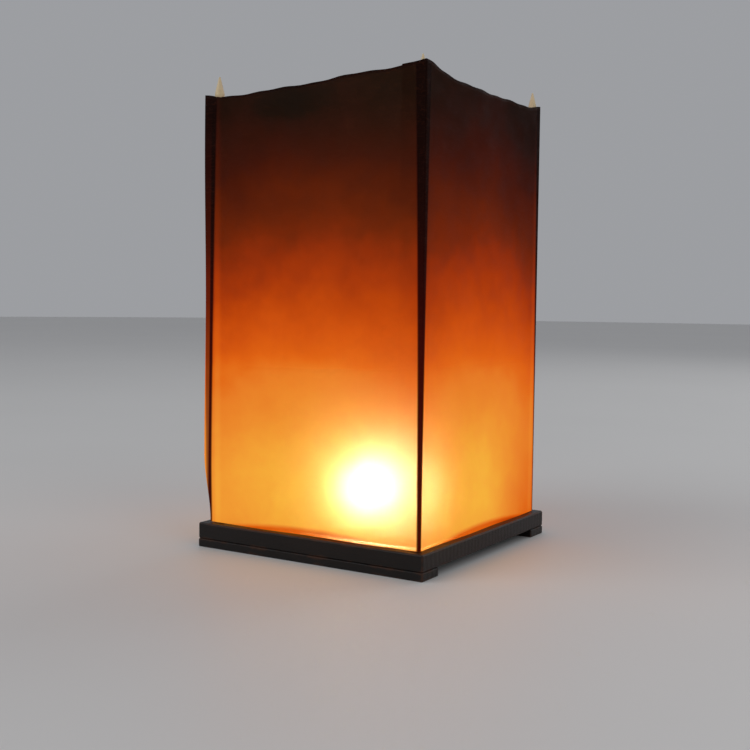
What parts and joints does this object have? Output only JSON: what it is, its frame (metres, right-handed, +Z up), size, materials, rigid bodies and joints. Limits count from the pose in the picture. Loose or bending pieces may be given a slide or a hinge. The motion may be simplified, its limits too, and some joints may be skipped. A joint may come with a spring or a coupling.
{
  "type": "floating paper lantern",
  "caption": "Square open-topped paper shade round pointed wooden posts on a wooden float, with a tealight inside; shade and tealight lift off.",
  "frame": {"origin": "middle of the float at the level of the runners' undersides, where the lantern rests", "axes": "+Z up along the posts, -Y out of the front of the shade, X along the runners, which lie under the front and rear edges of the board"},
  "size_m": [0.16, 0.16, 0.287],
  "materials": {
    "dark_wood": "satin",
    "brad_steel": "satin",
    "bamboo": "satin",
    "shade_paper": "matte",
    "cup_aluminium": "satin",
    "candle_wax": "satin",
    "sustainer_steel": "satin",
    "wick_cotton": "matte"
  },
  "bodies": {
    "float": {"base_board": "dark_wood", "front_runner": "dark_wood", "rear_runner": "dark_wood", "runner_brads": "brad_steel", "front_left_post": "bamboo", "front_right_post": "bamboo", "rear_left_post": "bamboo", "rear_right_post": "bamboo"},
    "shade": {"paper_shade": "shade_paper"},
    "tealight": {"tealight_cup": "cup_aluminium", "tealight_wax": "candle_wax", "wick_sustainer": "sustainer_steel", "wick": "wick_cotton"}
  },
  "joints": [
    {"name": "shade_lift", "type": "slide", "parent": "float", "child": "shade", "axis": [0, 0, 1], "range_m": [0, 0.3]},
    {"name": "tealight_lift", "type": "slide", "parent": "float", "child": "tealight", "axis": [0, 0, 1], "range_m": [0, 0.3]}
  ]
}
